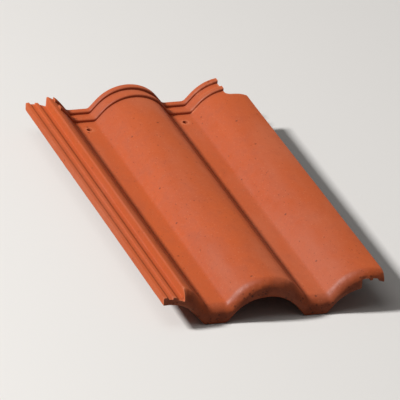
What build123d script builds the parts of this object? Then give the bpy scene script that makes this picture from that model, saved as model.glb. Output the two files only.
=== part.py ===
"""An interlocking clay roof tile with two rolls and two flat pans, pressed and fired as one piece.

Millimetres. +X runs across the slope, towards the wing that covers the next tile. +Y runs up
the slope, from the nose to the head. +Z is up. The tile lies on its nose lip and its two nibs,
and the origin is at the middle of its base.
"""
import os
from math import cos, radians, sin, sqrt, tan

from build123d import *

# What one laid tile covers
roll_width = 78.0
roll_height = 23.5
flank_angle = 50.0
pan_width = 22.0
gauge = 330.0
head_lap = 80.0

# The pressed shell
thickness = 10.0
course_step = 18.0
nest_clearance = 1.0
foot_radius = 5.0
under_foot_radius = 11.0

# The nose: its upper edge is rounded over, and a lip below it lies on the next course down
lip_length = 16.0
lip_edge_radius = 1.5
nose_radius = 10.0

# The side lock: ribs under the wing drop into the channels of the next tile
lock_rib_count = 2
lock_rib_pitch = 9.2
lock_rib_width = 3.8
lock_rib_height = 2.0
lock_rib_radius = 0.7
lock_clearance = 1.2
lock_end_clearance = 2.4
lock_past_crest = 4.0
lock_wall = 6.0
wing_skin = 8.0
seam_offset = 17.0
seam_radius = 1.3

# The head: ribs across the top, a weather rib below, and the cut that clears the next course
head_rib_height = 3.0
head_rib_length = 7.0
head_rib_gap = 10.0
head_rib_radius = 1.2
weather_rib_length = 5.0
weather_rib_clearance = 1.5
wing_cutback = 32.0
wing_cut_radius = 6.0

# The nibs that hook over the batten, and the nail holes
nib_width = 22.0
nib_length = 12.0
nib_from_head = 12.0
nib_radius = 1.5
nib_edge_radius = 1.0
nail_hole_diameter = 6.0
nail_hole_from_nib = 16.0

# How near two places are to count as the same one
touch = 0.01

roll_count = 2
roll_pitch = roll_width + pan_width
half_roll = roll_width / 2
length = gauge + head_lap
pan_level = course_step
wing_edge = seam_offset - lock_clearance
wing_start = -lock_past_crest - lock_end_clearance
lock_right = seam_offset + lock_wall
under_gap = course_step - thickness - head_rib_height - nest_clearance

# The first crest is that of the roll that this tile shares with its left neighbour
crests = [(index - 1) * roll_pitch for index in range(roll_count + 1)]
left_end = crests[0] - lock_past_crest
right_end = crests[-1] + wing_edge
middle = (left_end + right_end) / 2
crests = [crest - middle for crest in crests]
pans = [crest - roll_pitch / 2 for crest in crests[1:]]


def crest_radius(half_width):
    """Radius of a roll's crest, which runs into straight flanks at the flank angle."""
    slope = radians(flank_angle)
    return (half_width * sin(slope) - roll_height * cos(slope)) / (1 - cos(slope))


def flank_start(half_width):
    """Distance from the crest at which the arc ends and the straight flank starts."""
    return crest_radius(half_width) * sin(radians(flank_angle))


def rise(offset, half_width):
    """Height of a roll above its pan at this distance from the crest."""
    if abs(offset) > flank_start(half_width):
        return max(half_width - abs(offset), 0) * tan(radians(flank_angle))
    radius = crest_radius(half_width)
    return roll_height - radius + sqrt(radius ** 2 - offset ** 2)


def upper_level(x):
    """Height of the upper face at x, before the feet of the rolls are rounded."""
    return pan_level + rise(min(abs(x - crest) for crest in crests), half_roll)


def rolled(crest, start, end, level, half_width):
    """Edges of one roll from start to end, counted from its crest, over a pan at this level."""
    turn = flank_start(half_width)
    breaks = [start, *[place for place in (-turn, turn) if start < place < end], end]
    edges = []
    for first, last in zip(breaks, breaks[1:]):
        centre = (first + last) / 2
        points = [(crest + o, level + rise(o, half_width)) for o in (first, centre, last)]
        on_crest = abs(centre) < turn
        edges.append(ThreePointArc(*points) if on_crest else Line(points[0], points[2]))
    return edges


def wave(level, half_width, first, last):
    """Edges across the tile: from first on the shared roll to last on the last roll."""
    edges = rolled(crests[0], first, half_width, level, half_width)
    for crest in crests[1:]:
        end = last if crest == crests[-1] else half_width
        roll = rolled(crest, -half_width, end, level, half_width)
        edges += [Line(edges[-1] @ 1, roll[0] @ 0), *roll]
    return edges


def closed_face(upper, lower):
    """Face between two runs of edges that both go from left to right."""
    left = Line(lower[0] @ 0, upper[0] @ 0)
    right = Line(upper[-1] @ 1, lower[-1] @ 1)
    return make_face([*upper, right, *lower, left])


def round_feet(face, level, radius):
    """Round the corners where the rolls meet a pan line at this level."""
    feet = [v for v in face.vertices() if abs(v.Y - level) < 1e-4]
    return fillet(feet, radius)


def wavy_strip(drop_top, drop_bottom, first, last):
    """Section between the tile's upper face lowered by two amounts."""
    top = pan_level - drop_top
    bottom = pan_level - drop_bottom
    face = closed_face(wave(top, half_roll, first, last), wave(bottom, half_roll, first, last))
    face = round_feet(face, top, foot_radius)
    return round_feet(face, bottom, foot_radius)


def arched_strip(crest, start, end, drop_top, drop_bottom):
    """Section between one roll's upper face lowered by two amounts."""
    upper = rolled(crest, start, end, pan_level - drop_top, half_roll)
    lower = rolled(crest, start, end, pan_level - drop_bottom, half_roll)
    return closed_face(upper, lower)


def along(section, start, run):
    """Solid of a section that starts this far from the nose and runs towards the head."""
    return Pos(0, start - length / 2, 0) * extrude(Plane.XZ * section, amount=-run)


def edges_at(solid, y, lowest, highest):
    """Edges in the plane at y whose middle lies this far above the tile's upper face."""
    found = []
    for edge in solid.edges().filter_by_position(Axis.Y, y - touch, y + touch):
        place = edge @ 0.5
        if lowest < place.Z - upper_level(place.X) < highest:
            found.append(edge)
    return found


def shell_section():
    """The corrugated shell: rolls and pans, with a lower face that nests over the next course."""
    under_half = half_roll - under_gap / tan(radians(flank_angle))
    under_level = pan_level - thickness
    face = closed_face(
        wave(pan_level, half_roll, seam_offset, wing_start),
        wave(under_level, under_half, seam_offset, wing_start),
    )
    face = round_feet(face, pan_level, foot_radius)
    return round_feet(face, under_level, under_foot_radius)


def underlock_strips():
    """The left edge: a floor under the neighbour's wing, with ribs that stand up between channels."""
    crest = crests[0]
    rib_top = wing_skin + lock_clearance
    floor_top = rib_top + lock_rib_height
    floor_bottom = course_step - lock_clearance
    strips = [
        arched_strip(crest, -lock_past_crest, lock_right, floor_top, floor_bottom),
        arched_strip(crest, seam_offset, lock_right, rib_top, floor_bottom),
    ]
    for index in range(lock_rib_count):
        start = index * lock_rib_pitch - lock_past_crest
        strips.append(arched_strip(crest, start, start + lock_rib_width, rib_top, floor_bottom))
    return strips


def wing_strips():
    """The right edge: a thinner arch with ribs that hang down between the neighbour's ribs."""
    crest = crests[-1]
    strips = [arched_strip(crest, wing_start, wing_edge, 0, wing_skin)]
    for index in range(lock_rib_count):
        start = index * lock_rib_pitch - lock_past_crest + lock_rib_width + lock_clearance
        end = start + lock_rib_pitch - lock_rib_width - 2 * lock_clearance
        if index == lock_rib_count - 1:
            end = wing_edge
        strips.append(arched_strip(crest, start, end, 0, wing_skin + lock_rib_height))
    return strips


def cross_section():
    """Shell, underlock and wing as one face, with the corners of the lock rounded."""
    section = shell_section()
    for strip in [*underlock_strips(), *wing_strips()]:
        section += strip
    seam = crests[0] + seam_offset
    edge = crests[-1] + wing_edge
    recess = crests[-1] + wing_start
    lock_corners = []
    for vertex in section.vertices():
        at_seam = min(abs(vertex.X - seam), abs(vertex.X - edge)) < touch
        on_top = abs(vertex.Y - upper_level(vertex.X)) < touch
        in_lock = vertex.X < seam + touch or vertex.X > recess + touch
        if in_lock and not (at_seam and on_top):
            lock_corners.append(vertex)
    section = fillet(lock_corners, lock_rib_radius)
    seam_corners = []
    for vertex in section.vertices():
        at_seam = min(abs(vertex.X - seam), abs(vertex.X - edge)) < touch
        if at_seam and abs(vertex.Y - upper_level(vertex.X)) < touch:
            seam_corners.append(vertex)
    return fillet(seam_corners, seam_radius)


def nose_lip():
    """The lip under the nose, down to the course below, with its lower front edge rounded."""
    lip = along(wavy_strip(0, course_step, lock_right, wing_start), 0, lip_length)
    low = -course_step - 1
    return fillet(edges_at(lip, -length / 2, low, low + 3), lip_edge_radius)


def pressed_blank():
    """All that lies below the weather face, with the nose's upper edge rounded over."""
    first = -lock_past_crest - nest_clearance
    last = wing_edge + nest_clearance
    upper = wave(pan_level, half_roll, first, last)
    lower = Line((crests[0] + first, -nest_clearance), (crests[-1] + last, -nest_clearance))
    section = round_feet(closed_face(upper, [lower]), pan_level, foot_radius)
    blank = along(section, 0, length + nest_clearance)
    return fillet(edges_at(blank, -length / 2, -touch, course_step / 2), nose_radius)


def head_ribs():
    """Two ribs across the head that stop water driven up under the next course."""
    section = wavy_strip(-head_rib_height, nest_clearance, lock_right + nest_clearance, wing_start)
    ribs = []
    for index in range(2):
        end = length - index * (head_rib_length + head_rib_gap)
        rib = along(section, end - head_rib_length, head_rib_length)
        edges = []
        for side in (end - head_rib_length, end):
            edges += edges_at(rib, side - length / 2, head_rib_height / 2, 2 * head_rib_height)
        ribs.append(fillet(edges, head_rib_radius))
    return ribs


def weather_rib():
    """The rib below the shell that hangs between the head ribs of the tile below."""
    section = wavy_strip(
        thickness / 2, course_step - weather_rib_clearance, lock_right + nest_clearance, wing_start
    )
    start = head_lap - head_rib_length - (head_rib_gap + weather_rib_length) / 2
    return along(section, start, weather_rib_length)


def nibs():
    """A nib under each pan, whose lower side hooks over the batten."""
    blocks = []
    for pan in pans:
        standing = (Align.CENTER, Align.MAX, Align.MIN)
        block = Box(nib_width, nib_length, pan_level - thickness / 2, align=standing)
        block = fillet(block.edges().filter_by(Axis.Z), nib_radius)
        block = fillet(block.edges().group_by(Axis.Z)[0], nib_edge_radius)
        blocks.append(Pos(pan, length / 2 - nib_from_head, 0) * block)
    return blocks


def nail_holes():
    """A hole through each pan, just down the slope from its nib."""
    y = length / 2 - nib_from_head - nib_length - nail_hole_from_nib
    return [Pos(pan, y, pan_level) * Cylinder(nail_hole_diameter / 2, 4 * thickness) for pan in pans]


def wing_cut():
    """The cut that ends the wing short of the head, so that four corners don't stack up."""
    start = crests[-1] + wing_start
    corner = (Align.MIN, Align.MAX, Align.MIN)
    cut = Box(roll_pitch, wing_cutback, pan_level + 2 * roll_height, align=corner)
    inner = cut.edges().filter_by(Axis.Z).sort_by(Axis.X)[:2].sort_by(Axis.Y)[:1]
    return Pos(start, length / 2, 0) * fillet(inner, wing_cut_radius)


def roof_tile():
    """The whole tile as one solid."""
    tile = along(cross_section(), 0, length)
    tile += nose_lip()
    tile &= pressed_blank()
    tile += head_ribs()
    tile += weather_rib()
    tile += nibs()
    tile -= wing_cut()
    return tile - nail_holes()


os.makedirs("parts", exist_ok=True)
export_step(roof_tile(), "parts/roof_tile.step")
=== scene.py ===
"""Looks of one pressed clay roof tile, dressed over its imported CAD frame."""

import logging
import math
import random
from dataclasses import dataclass
from enum import Enum

import bmesh
import bpy
from mathutils import Matrix, Vector, kdtree, noise


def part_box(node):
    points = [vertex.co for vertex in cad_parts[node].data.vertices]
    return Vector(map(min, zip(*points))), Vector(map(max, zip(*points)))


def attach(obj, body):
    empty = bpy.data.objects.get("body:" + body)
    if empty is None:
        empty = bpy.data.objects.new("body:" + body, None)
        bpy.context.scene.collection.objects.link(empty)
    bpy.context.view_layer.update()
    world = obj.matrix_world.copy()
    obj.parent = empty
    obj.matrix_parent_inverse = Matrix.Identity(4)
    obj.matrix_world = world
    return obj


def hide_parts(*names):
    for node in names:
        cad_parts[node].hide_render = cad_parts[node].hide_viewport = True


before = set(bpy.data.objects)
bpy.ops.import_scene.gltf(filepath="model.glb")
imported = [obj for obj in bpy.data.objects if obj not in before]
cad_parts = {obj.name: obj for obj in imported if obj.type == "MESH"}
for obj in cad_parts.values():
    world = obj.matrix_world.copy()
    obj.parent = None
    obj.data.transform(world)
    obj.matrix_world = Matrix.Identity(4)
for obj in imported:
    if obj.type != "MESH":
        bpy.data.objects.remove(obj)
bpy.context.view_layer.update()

LOG = logging.getLogger("roof_tile_scene")
MM = 0.001
TILE_NODE = "roof_tile"
TILE_PIECE = "clay_roof_tile"


class ClayTone(Enum):
    """sRGB colours of red-fired clay, as the tile shows them."""

    ORANGE = 0xC95F2E
    BODY = 0xC35D31
    ROSE = 0xC4653F
    BROWN = 0xA64C28
    IRON = 0x7C351C
    GROG = 0xDE9268
    # Painted shade: the dark tone laid in the pits
    PIT_SHADE = 0x5A2413
    BARE = 0xD8835C
    # Painted shade: the darker tone laid near the inner corners
    CORNER_SHADE = 0x8E4A30


class PatternKind(Enum):
    """The texture node and the output that draw a kind of pattern."""

    SWELLS = ("ShaderNodeTexNoise", "Fac")
    SPECKS = ("ShaderNodeTexVoronoi", "Distance")
    STORED = ("ShaderNodeAttribute", "Fac")


def linear(tone: int) -> tuple[float, float, float, float]:
    """Turns an sRGB hex value into a linear colour.

    Args:
        tone: The colour as 0xRRGGBB.

    Returns:
        Red, green, blue and alpha, each from 0 to 1.
    """
    channels = []
    for shift in (16, 8, 0):
        part = ((tone >> shift) & 0xFF) / 255.0
        # The curve and its numbers are those of the sRGB standard
        channels.append(part / 12.92 if part <= 0.04045 else ((part + 0.055) / 1.055) ** 2.4)
    return (channels[0], channels[1], channels[2], 1.0)


def add_node(
    tree: bpy.types.NodeTree,
    kind: str,
    settings: dict[str, object] | None = None,
    values: dict[str | int, object] | None = None,
    links: dict[str | int, bpy.types.NodeSocket] | None = None,
) -> bpy.types.Node:
    """Adds one node with its settings, socket values and links.

    Args:
        tree: The node tree of a material or the world.
        kind: The node's type name.
        settings: Properties of the node itself.
        values: Values of its input sockets, by name or number.
        links: Output sockets of other nodes, by the input that they feed.

    Returns:
        The new node.
    """
    made = tree.nodes.new(kind)
    for name, value in (settings or {}).items():
        setattr(made, name, value)
    for name, value in (values or {}).items():
        made.inputs[name].default_value = value
    for name, source in (links or {}).items():
        tree.links.new(source, made.inputs[name])
    return made


def as_share(wave: float) -> float:
    """Brings a noise value, from -1 to 1, to a share from 0 to 1."""
    return 0.5 + 0.5 * wave


def per_metre(size_mm: float) -> float:
    """Scale on Object coordinates of a pattern whose swells are this size."""
    return 1.0 / (size_mm * MM)


@dataclass(frozen=True)
class Pattern:
    """A pattern in the clay, by the real size of one swell or the spacing of its specks."""

    kind: PatternKind
    across_mm: float = 1.0
    along_mm: float = 1.0
    settings: tuple[tuple[str, float], ...] = ()

    def draw(
        self, tree: bpy.types.NodeTree, place: bpy.types.NodeSocket, name: str
    ) -> bpy.types.NodeSocket:
        """Adds the nodes of the pattern.

        Args:
            tree: The material's node tree.
            place: Object coordinates.
            name: The pattern's name, which a stored one is kept under on the mesh.

        Returns:
            The pattern's value at each point.
        """
        kind, output = self.kind.value
        if self.kind is PatternKind.STORED:
            return add_node(tree, kind, {"attribute_name": name}).outputs[output]
        across, along = per_metre(self.across_mm), per_metre(self.along_mm)
        sized = add_node(
            tree,
            "ShaderNodeMapping",
            values={"Scale": (across, along, across)},
            links={"Vector": place},
        )
        values = {"Scale": 1.0, **dict(self.settings)}
        drawn = add_node(tree, kind, values=values, links={"Vector": sized.outputs["Vector"]})
        return drawn.outputs[output]


@dataclass(frozen=True)
class Layer:
    """A tone laid over the clay, more and more as a pattern goes from one value to another.

    It can be held to the part of the tile that a stored pattern marks.
    """

    tone: ClayTone
    pattern: str
    none_at: float
    full_at: float
    most: float = 1.0
    held_to: str = ""


@dataclass(frozen=True)
class Press:
    """A relief too fine for the mesh, by its pattern, strength and real depth.

    A sunk one is lowest where its pattern is below one value and level from another one on.
    """

    pattern: str
    strength: float
    depth_mm: float
    sunk: tuple[float, float] | None = None


@dataclass(frozen=True)
class FiredClay:
    """Red clay, pressed in a plaster mould and fired unglazed.

    It gives the eye a satin orange-red skin, with soft clouds from the kiln that run with the
    press, a sandy grain with dark and pale specks, a few pits darkened with painted shade, paler
    rubbed edges, painted shade near the inner corners and a pitted front of the nose, mottled
    darker with painted shade and with painted shade in its pits.
    """

    # The sand is 0.2 to 0.5 mm and the specks are about 0.3 mm; both are drawn two to three
    # times as coarse, so that they show.
    patterns: tuple[tuple[str, Pattern], ...] = (
        ("cloud", Pattern(PatternKind.SWELLS, 46.0, 150.0, (("Detail", 3.0), ("Roughness", 0.5)))),
        ("mottle", Pattern(PatternKind.SWELLS, 11.0, 16.0, (("Detail", 5.0), ("Roughness", 0.6)))),
        ("sand", Pattern(PatternKind.SWELLS, 1.2, 1.2, (("Detail", 2.0), ("Roughness", 0.55)))),
        ("drag", Pattern(PatternKind.SWELLS, 2.6, 75.0, (("Detail", 2.0), ("Roughness", 0.5)))),
        ("iron", Pattern(PatternKind.SPECKS, 5.2, 5.2)),
        ("grog", Pattern(PatternKind.SPECKS, 3.6, 3.6)),
        ("pits", Pattern(PatternKind.SPECKS, 19.0, 19.0)),
        ("painted_nose_pits", Pattern(PatternKind.SPECKS, 5.8, 5.8)),
        ("painted_corner_shade", Pattern(PatternKind.STORED)),
        ("worn", Pattern(PatternKind.STORED)),
        ("painted_pit_floor", Pattern(PatternKind.STORED)),
        ("nose", Pattern(PatternKind.STORED)),
    )
    layers: tuple[Layer, ...] = (
        Layer(ClayTone.BODY, "cloud", 0.36, 0.5),
        Layer(ClayTone.ROSE, "cloud", 0.5, 0.64),
        Layer(ClayTone.BROWN, "mottle", 0.5, 0.78, 0.36),
        Layer(ClayTone.BROWN, "sand", 0.56, 0.76, 0.3),
        Layer(ClayTone.BARE, "sand", 0.44, 0.26, 0.2),
        Layer(ClayTone.IRON, "iron", 0.13, 0.06, 0.55),
        Layer(ClayTone.GROG, "grog", 0.17, 0.08, 0.45),
        # Painted shade, darker near the inner corners
        Layer(ClayTone.CORNER_SHADE, "painted_corner_shade", 0.0, 1.0),
        Layer(ClayTone.BARE, "worn", 0.0, 1.0),
        # Painted shade in the pits that the relief sinks
        Layer(ClayTone.PIT_SHADE, "pits", 0.08, 0.04, 0.6),
        # Painted shade on the floors of the mesh's pits
        Layer(ClayTone.PIT_SHADE, "painted_pit_floor", 0.1, 0.8, 0.6),
        # Painted shade: the nose's front mottled darker brown
        Layer(ClayTone.BROWN, "mottle", 0.44, 0.62, 0.6, "nose"),
        # Painted shade of pits in the nose's front, as dark specks
        Layer(ClayTone.PIT_SHADE, "painted_nose_pits", 0.27, 0.12, 0.72, "nose"),
    )
    presses: tuple[Press, ...] = (
        Press("sand", 0.32, 0.14),
        Press("drag", 0.3, 0.08),
        Press("pits", 0.5, 0.3, (0.04, 0.08)),
    )
    ior: float = 1.5
    metallic: float = 0.0
    satin: float = 0.45
    matt: float = 0.64
    satin_at: float = 0.3
    matt_at: float = 0.7
    # Rough clay throws light back towards the lamp, so its rolls look flatter than paint
    throw_back: float = 1.0

    def material(self) -> bpy.types.Material:
        """Builds the clay's node material.

        Returns:
            The material, on Object coordinates and the tile's own attributes.
        """
        made = bpy.data.materials.new("red_clay_pressed_and_fired")
        made.use_nodes = True
        tree = made.node_tree
        tree.nodes.clear()
        place = add_node(tree, "ShaderNodeTexCoord").outputs["Object"]
        drawn = {name: pattern.draw(tree, place, name) for name, pattern in self.patterns}
        rough = add_node(
            tree,
            "ShaderNodeMapRange",
            values={
                "From Min": self.satin_at,
                "From Max": self.matt_at,
                "To Min": self.satin,
                "To Max": self.matt,
            },
            links={"Value": drawn["mottle"]},
        )
        shader = add_node(
            tree,
            "ShaderNodeBsdfPrincipled",
            values={
                "IOR": self.ior,
                "Metallic": self.metallic,
                "Diffuse Roughness": self.throw_back,
            },
            links={"Roughness": rough.outputs["Result"]},
        )
        self._lay_tones(tree, drawn, shader)
        self._press_relief(tree, drawn, shader)
        add_node(tree, "ShaderNodeOutputMaterial", links={"Surface": shader.outputs["BSDF"]})
        return made

    def _lay_tones(
        self,
        tree: bpy.types.NodeTree,
        drawn: dict[str, bpy.types.NodeSocket],
        shader: bpy.types.Node,
    ) -> None:
        """Lays the tones over each other and gives the result to the shader.

        Args:
            tree: The material's node tree.
            drawn: The patterns' values.
            shader: The surface shader.
        """
        below = None
        for layer in self.layers:
            share = add_node(
                tree,
                "ShaderNodeMapRange",
                values={
                    "From Min": layer.none_at,
                    "From Max": layer.full_at,
                    "To Min": 0.0,
                    "To Max": layer.most,
                },
                links={"Value": drawn[layer.pattern]},
            ).outputs["Result"]
            if layer.held_to:
                both = {0: share, 1: drawn[layer.held_to]}
                held = add_node(tree, "ShaderNodeMath", {"operation": "MULTIPLY"}, links=both)
                share = held.outputs["Value"]
            laid = add_node(
                tree,
                "ShaderNodeMix",
                {"data_type": "RGBA"},
                {"A": linear(ClayTone.ORANGE.value), "B": linear(layer.tone.value)},
                {"Factor": share, **({"A": below} if below else {})},
            )
            below = laid.outputs["Result"]
        tree.links.new(below, shader.inputs["Base Color"])

    def _press_relief(
        self,
        tree: bpy.types.NodeTree,
        drawn: dict[str, bpy.types.NodeSocket],
        shader: bpy.types.Node,
    ) -> None:
        """Adds the reliefs to each other and gives the result to the shader.

        Args:
            tree: The material's node tree.
            drawn: The patterns' values.
            shader: The surface shader.
        """
        below = None
        for press in self.presses:
            height = drawn[press.pattern]
            if press.sunk:
                lowest_at, level_at = press.sunk
                near = add_node(
                    tree,
                    "ShaderNodeMapRange",
                    values={"From Min": lowest_at, "From Max": level_at},
                    links={"Value": height},
                )
                height = near.outputs["Result"]
            bent = add_node(
                tree,
                "ShaderNodeBump",
                values={"Strength": press.strength, "Distance": press.depth_mm * MM},
                links={"Height": height, **({"Normal": below} if below else {})},
            )
            below = bent.outputs["Normal"]
        tree.links.new(below, shader.inputs["Normal"])


@dataclass(frozen=True)
class Swell:
    """A gentle unevenness of the mesh, by the size of one swell and how far it stands."""

    across_mm: float
    along_mm: float
    depth_mm: float

    def lift(self, spot: Vector) -> float:
        """Height of the swell at a spot.

        Args:
            spot: The place, in millimetres.

        Returns:
            The height, in millimetres.
        """
        sized = Vector((spot.x / self.across_mm, spot.y / self.along_mm, spot.z / self.across_mm))
        return self.depth_mm * noise.noise(sized)


def least_side(face: bmesh.types.BMFace) -> float:
    """Length of a face's shortest side, in metres."""
    return min(edge.calc_length() for edge in face.edges)


@dataclass(frozen=True)
class PitField:
    """Pits in one side of the tile, where grains fell out of the clay.

    A side is given by its direction, how far a face may turn from it, as a cosine, and its reach
    from the nose. The least side that a face needs is a share of the mesh's cell, and a rim is a
    share of the face's own least side.
    """

    count: int
    toward: tuple[float, float, float]
    facing: float
    least_side: float
    rim: tuple[float, float]
    depth_mm: tuple[float, float]
    reach_mm: float = math.inf

    def holds(self, face: bmesh.types.BMFace, cell: float, nose: float) -> bool:
        """Tells whether a face can have one of the pits.

        Args:
            face: A face of the body.
            cell: Side of the mesh's cells, in metres.
            nose: Place of the tile's nose along Y, in metres.

        Returns:
            True where the face is large enough and on this side.
        """
        return (
            face.normal.dot(self.toward) > self.facing
            and least_side(face) > self.least_side * cell
            and face.calc_center_median().y - nose < self.reach_mm * MM
        )


@dataclass(frozen=True)
class EdgeWear:
    """How handling and firing wear the outer edges, and how far painted shade darkens the inner
    corners.
    """

    reach_mm: float = 2.6
    round_mm: float = 0.15
    chip_size_mm: float = 9.0
    chip_from: float = 0.12
    chip_depth_mm: float = 0.8
    chip_shift: tuple[float, float, float] = (7.0, 3.0, 1.0)
    rub_size_mm: float = 6.0
    rub_least: float = 0.25
    rub_most: float = 0.75
    bare_chip: float = 1.6
    # Painted shade: how far it reaches from the inner corners, how dark it gets at most and how
    # even it is
    shade_reach_mm: float = 4.0
    shade_most: float = 0.45
    shade_even: float = 0.5

    def at(
        self, spot: Vector, to_edge_mm: float, to_corner_mm: float
    ) -> tuple[float, float, float]:
        """Works out the wear at a spot, and the painted shade near the inner corners.

        Args:
            spot: The place, in millimetres.
            to_edge_mm: Distance to the nearest outer edge.
            to_corner_mm: Distance to the nearest inner corner.

        Returns:
            The depth lost in millimetres, how bare the clay is and how much painted shade darkens
            it, from 0 to 1.
        """
        near_edge = max(0.0, 1.0 - to_edge_mm / self.reach_mm)
        near_corner = max(0.0, 1.0 - to_corner_mm / self.shade_reach_mm)
        knock = noise.noise(spot / self.chip_size_mm + Vector(self.chip_shift))
        chip = near_edge * max(0.0, knock - self.chip_from)
        rub = as_share(noise.noise(spot / self.rub_size_mm))
        lost = self.round_mm * near_edge + self.chip_depth_mm * chip
        rubbed = self.rub_least + (self.rub_most - self.rub_least) * rub
        bare = min(1.0, near_edge * rubbed + self.bare_chip * chip)
        # Painted shade, darker near the inner corners
        shade_share = self.shade_most * near_corner * (self.shade_even + (1.0 - self.shade_even) * rub)
        return lost, bare, shade_share


@dataclass
class RoofTile:
    """The tile's visible body: its pressed shape with the unevenness of real fired clay."""

    weld_mm: float = 0.002
    cut_weld_mm: float = 0.02
    flat_deg: float = 1.0
    cell_mm: float = 3.8
    # Along the tile, across it, then through it
    cut_order: tuple[int, int, int] = (1, 0, 2)
    curved_deg: float = 24.0
    even_rounds: int = 2
    even_share: float = 0.5
    sharp_deg: float = 52.0
    worn_deg: float = 30.0
    swells: tuple[Swell, ...] = (
        Swell(90.0, 210.0, 0.28),
        Swell(16.0, 28.0, 0.08),
        Swell(4.2, 4.2, 0.05),
    )
    nose_swell: Swell = Swell(3.6, 3.6, 0.2)
    nose_depth_mm: float = 7.0
    nose_front_mm: float = 3.4
    nose_fade_mm: float = 3.0
    under_swell: Swell = Swell(6.5, 9.0, 0.14)
    facing_down: float = -0.3
    base_calm_mm: float = 3.0
    pits: tuple[PitField, ...] = (
        PitField(
            count=64,
            toward=(0.0, 0.0, 1.0),
            facing=0.4,
            least_side=0.45,
            rim=(0.26, 0.4),
            depth_mm=(0.2, 0.55),
        ),
        PitField(
            count=20,
            toward=(0.0, -1.0, 0.0),
            facing=0.3,
            least_side=0.4,
            rim=(0.2, 0.32),
            depth_mm=(0.3, 0.8),
            reach_mm=12.0,
        ),
    )
    seed: int = 31

    def build(self) -> bpy.types.Object:
        """Builds the piece and lets it stand for the CAD node.

        Returns:
            The finished piece.
        """
        shape = self._welded_copy()
        edges = self._points_along(shape, outer=True)
        corners = self._points_along(shape, outer=False)
        self._cut_cells(shape)
        self._even_out(shape)
        self._mark_sharp(shape)
        self._press_pits(shape)
        shares = self._weather(shape, edges, corners)
        mesh = bpy.data.meshes.new(TILE_PIECE)
        bmesh.ops.triangulate(shape, faces=shape.faces[:])
        shape.to_mesh(mesh)
        shape.free()
        for name, values in shares.items():
            mesh.attributes.new(name, "FLOAT", "POINT").data.foreach_set("value", values)
        mesh.materials.append(FiredClay().material())
        piece = bpy.data.objects.new(TILE_PIECE, mesh)
        bpy.context.scene.collection.objects.link(piece)
        even = piece.modifiers.new("even_shading", "WEIGHTED_NORMAL")
        even.keep_sharp = True
        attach(piece, "root")
        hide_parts(TILE_NODE)
        LOG.info("%s: %d triangles", TILE_PIECE, len(mesh.polygons))
        return piece

    def _welded_copy(self) -> bmesh.types.BMesh:
        """Copies the CAD body, welds its loose triangles and joins those that lie flat.

        Returns:
            A closed mesh of the body.
        """
        shape = bmesh.new()
        shape.from_mesh(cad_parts[TILE_NODE].data)
        bmesh.ops.remove_doubles(shape, verts=shape.verts[:], dist=self.weld_mm * MM)
        bmesh.ops.dissolve_limit(
            shape,
            angle_limit=math.radians(self.flat_deg),
            use_dissolve_boundaries=False,
            verts=shape.verts[:],
            edges=shape.edges[:],
            delimit=set(),
        )
        shape.normal_update()
        return shape

    def _points_along(self, shape: bmesh.types.BMesh, outer: bool) -> kdtree.KDTree:
        """Finds points a millimetre apart along the outer edges or the inner corners.

        Args:
            shape: The welded body.
            outer: True for outer edges, False for inner corners.

        Returns:
            The points, ready to be searched.
        """
        limit = math.radians(self.worn_deg)
        points: list[Vector] = []
        for edge in shape.edges:
            turn = edge.calc_face_angle_signed(0.0)
            if (turn if outer else -turn) < limit:
                continue
            start, end = (vert.co for vert in edge.verts)
            steps = max(1, round((end - start).length / MM))
            points.extend(start.lerp(end, step / steps) for step in range(steps + 1))
        found = kdtree.KDTree(len(points))
        for number, point in enumerate(points):
            found.insert(point, number)
        found.balance()
        return found

    def _cut_cells(self, shape: bmesh.types.BMesh) -> None:
        """Cuts the faces into small cells, so that the relief has points to move.

        Args:
            shape: The welded body.
        """
        low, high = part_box(TILE_NODE)
        for axis in self.cut_order:
            normal = Vector((0.0, 0.0, 0.0))
            normal[axis] = 1.0
            span = high[axis] - low[axis]
            count = int(span / (self.cell_mm * MM))
            for step in range(1, count):
                bmesh.ops.bisect_plane(
                    shape,
                    geom=shape.verts[:] + shape.edges[:] + shape.faces[:],
                    dist=self.cut_weld_mm * MM,
                    plane_co=normal * (low[axis] + span * step / count),
                    plane_no=normal,
                )

    def _even_out(self, shape: bmesh.types.BMesh) -> None:
        """Rounds the facets of the rolls, the feet and the nose, and leaves the corners.

        Args:
            shape: The body, cut into cells.
        """
        limit = math.radians(self.curved_deg)
        soft = [
            vert
            for vert in shape.verts
            if all(abs(edge.calc_face_angle_signed(0.0)) < limit for edge in vert.link_edges)
        ]
        for _ in range(self.even_rounds):
            bmesh.ops.smooth_vert(
                shape,
                verts=soft,
                factor=self.even_share,
                use_axis_x=True,
                use_axis_y=True,
                use_axis_z=True,
            )

    def _mark_sharp(self, shape: bmesh.types.BMesh) -> None:
        """Keeps the shading of the true corners crisp, before the relief bends the faces.

        Args:
            shape: The body, cut into cells.
        """
        limit = math.radians(self.sharp_deg)
        shape.normal_update()
        for face in shape.faces:
            face.smooth = True
        for edge in shape.edges:
            edge.smooth = abs(edge.calc_face_angle_signed(0.0)) < limit

    def _press_pits(self, shape: bmesh.types.BMesh) -> None:
        """Sinks a few small pits into the weather face, and more into the trimmed nose, and marks
        their floors for painted shade.

        Args:
            shape: The body, cut into cells.
        """
        dice = random.Random(self.seed)
        cell = self.cell_mm * MM
        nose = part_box(TILE_NODE)[0].y
        # The pits' floors are marked, so that the material lays painted shade on them
        pit_floor_shade = shape.verts.layers.float.new("painted_pit_floor")
        for field in self.pits:
            whole = [face for face in shape.faces if field.holds(face, cell, nose)]
            LOG.info("pits: %d in %d faces", field.count, len(whole))
            for face in dice.sample(whole, min(field.count, len(whole))):
                rim = dice.uniform(*field.rim) * least_side(face)
                depth = dice.uniform(*field.depth_mm) * MM
                bmesh.ops.inset_individual(shape, faces=[face], thickness=rim, depth=0.0)
                poked = bmesh.ops.poke(shape, faces=[face], offset=-depth)
                for vert in poked["verts"]:
                    vert[pit_floor_shade] = 1.0

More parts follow.
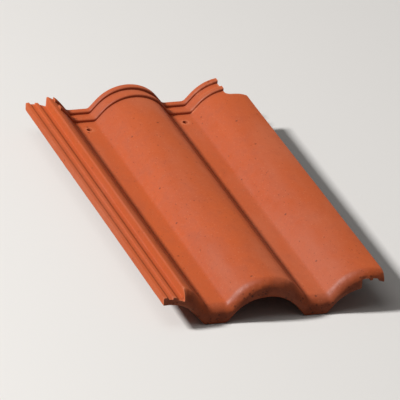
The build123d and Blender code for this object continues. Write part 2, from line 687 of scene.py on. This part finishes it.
    def _weather(
        self, shape: bmesh.types.BMesh, edges: kdtree.KDTree, corners: kdtree.KDTree
    ) -> dict[str, list[float]]:
        """Moves the points a little, as pressing, drying, trimming and handling leave them.

        Args:
            shape: The body, cut into cells.
            edges: Points along the outer edges.
            corners: Points along the inner corners.

        Returns:
            How bare, how darkened by painted shade near the inner corners and how near the trimmed
            nose each point is, from 0 to 1, by the names of the stored patterns.
        """
        shape.normal_update()
        low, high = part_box(TILE_NODE)
        wear = EdgeWear()
        trimmed = low.y + self.nose_depth_mm * MM
        places: list[Vector] = []
        # The second share is painted shade, darker near the inner corners
        shares: dict[str, list[float]] = {"worn": [], "painted_corner_shade": [], "nose": []}
        for vert in shape.verts:
            spot = vert.co / MM
            to_edge = edges.find(vert.co)[2] / MM
            to_corner = corners.find(vert.co)[2] / MM
            lost, bare_here, shade_here = wear.at(spot, to_edge, to_corner)
            lift = sum(swell.lift(spot) for swell in self.swells)
            if vert.co.y < trimmed:
                lift += self.nose_swell.lift(spot)
            if vert.normal.z < self.facing_down:
                lift += self.under_swell.lift(spot)
            lift = (lift - lost) * min(1.0, spot.z / self.base_calm_mm)
            place = vert.co + vert.normal * (lift * MM)
            inside = [min(max(place[axis], low[axis]), high[axis]) for axis in range(3)]
            places.append(Vector(inside))
            nose_here = (self.nose_front_mm - (vert.co.y - low.y) / MM) / self.nose_fade_mm
            here = (bare_here, shade_here, min(max(nose_here, 0.0), 1.0))
            for values, value in zip(shares.values(), here):
                values.append(value)
        for vert, place in zip(shape.verts, places):
            vert.co = place
        return shares


@dataclass(frozen=True)
class MattPaper:
    """Unprinted paper on the studio's floor: pale and without gloss.

    The camera sees its full tone. The light that it throws back on the tile is dimmer, so that
    the shaded flanks and the nose keep their depth.
    """

    seen: int = 0xE6E3DF
    bounced: int = 0x8C8884

    def material(self) -> bpy.types.Material:
        """Builds the paper's node material.

        Returns:
            The material.
        """
        made = bpy.data.materials.new("matt_paper")
        made.use_nodes = True
        tree = made.node_tree
        tree.nodes.clear()
        path = add_node(tree, "ShaderNodeLightPath")
        tone = add_node(
            tree,
            "ShaderNodeMix",
            {"data_type": "RGBA"},
            {"A": linear(self.bounced), "B": linear(self.seen)},
            {"Factor": path.outputs["Is Camera Ray"]},
        )
        shader = add_node(tree, "ShaderNodeBsdfDiffuse", links={"Color": tone.outputs["Result"]})
        add_node(tree, "ShaderNodeOutputMaterial", links={"Surface": shader.outputs["BSDF"]})
        return made


@dataclass(frozen=True)
class SoftLamp:
    """A square soft lamp, by the direction, distance, size and power that it has."""

    name: str
    toward: tuple[float, float, float]
    far: float
    size: float
    energy: float

    def hang(self) -> None:
        """Hangs the lamp so that it faces the tile."""
        data = bpy.data.lights.new(self.name, "AREA")
        data.shape = "SQUARE"
        data.size = self.size
        data.energy = self.energy
        lamp = bpy.data.objects.new(self.name, data)
        way = Vector(self.toward).normalized()
        turn = way.to_track_quat("Z", "Y").to_matrix().to_4x4()
        lamp.matrix_world = Matrix.Translation(way * self.far) @ turn
        bpy.context.scene.collection.objects.link(lamp)
        LOG.info("%s: %.0f W", self.name, self.energy)


@dataclass
class Studio:
    """A pale floor under plain soft light, which comes mostly from the tile's left."""

    floor_size: float = 24.0
    # A hair of room, so that the tile's base and the floor aren't the same face
    floor_gap: float = 0.0002
    key_lamp: SoftLamp = SoftLamp(
        name="key_lamp", toward=(-0.74, 0.1, 0.665), far=4.4, size=0.6, energy=228.0
    )
    top_lamp: SoftLamp = SoftLamp(
        name="top_lamp", toward=(-0.32, -0.08, 0.94), far=4.0, size=2.6, energy=22.0
    )
    air_tone: int = 0xFFFDFB
    air_light: float = 0.085
    air_seen: float = 0.82

    def build(self) -> None:
        """Lays the floor, hangs the lamps and lights the air."""
        self._lay_floor()
        self.key_lamp.hang()
        self.top_lamp.hang()
        self._light_air()

    def _lay_floor(self) -> None:
        """Lays one plain pale sheet under the tile."""
        sheet = bmesh.new()
        bmesh.ops.create_grid(sheet, x_segments=1, y_segments=1, size=self.floor_size / 2)
        bmesh.ops.translate(sheet, verts=sheet.verts[:], vec=(0.0, 0.0, -self.floor_gap))
        mesh = bpy.data.meshes.new("studio_floor")
        sheet.to_mesh(mesh)
        sheet.free()
        mesh.materials.append(MattPaper().material())
        floor = bpy.data.objects.new("studio_floor", mesh)
        bpy.context.scene.collection.objects.link(floor)
        LOG.info("studio_floor: %.0f m wide", self.floor_size)

    def _light_air(self) -> None:
        """Gives a dim even light, with a pale backdrop behind the floor."""
        world = bpy.data.worlds.new("studio_air")
        bpy.context.scene.world = world
        world.use_nodes = True
        tree = world.node_tree
        tree.nodes.clear()
        path = add_node(tree, "ShaderNodeLightPath")
        strength = add_node(
            tree,
            "ShaderNodeMapRange",
            values={"To Min": self.air_light, "To Max": self.air_seen},
            links={"Value": path.outputs["Is Camera Ray"]},
        )
        air = add_node(
            tree,
            "ShaderNodeBackground",
            values={"Color": linear(self.air_tone)},
            links={"Strength": strength.outputs["Result"]},
        )
        add_node(tree, "ShaderNodeOutputWorld", links={"Surface": air.outputs["Background"]})


@dataclass
class PhotoCamera:
    """A long lens at the angle from which the tile is seen."""

    azimuth_deg: float = -22.3
    elevation_deg: float = 26.9
    lean_deg: float = 5.7
    distance: float = 5.7
    lens_mm: float = 535.0
    sensor_mm: float = 36.0
    aim: tuple[float, float, float] = (0.0, 0.0, 0.02)

    def build(self) -> None:
        """Places the camera and makes it the scene's own."""
        turn, rise = math.radians(self.azimuth_deg), math.radians(self.elevation_deg)
        level_part = math.cos(rise)
        back = Vector((math.sin(turn) * level_part, -math.cos(turn) * level_part, math.sin(rise)))
        level = Vector((0.0, 0.0, 1.0)).cross(back).normalized()
        upright = back.cross(level)
        lean = math.radians(self.lean_deg)
        right = math.cos(lean) * level + math.sin(lean) * upright
        axes = Matrix((right, back.cross(right), back)).transposed().to_4x4()
        data = bpy.data.cameras.new("photo_camera")
        data.lens = self.lens_mm
        data.sensor_width = self.sensor_mm
        camera = bpy.data.objects.new("photo_camera", data)
        camera.matrix_world = Matrix.Translation(Vector(self.aim) + back * self.distance) @ axes
        bpy.context.scene.collection.objects.link(camera)
        bpy.context.scene.camera = camera
        LOG.info("photo_camera: %.0f mm lens", self.lens_mm)


def main() -> None:
    """Builds the camera, the tile and the studio, in that order."""
    logging.basicConfig(level=logging.INFO, format="%(name)s: %(message)s")
    bpy.context.scene.view_settings.view_transform = "Standard"
    PhotoCamera().build()
    RoofTile().build()
    Studio().build()


if __name__ == "__main__":
    main()
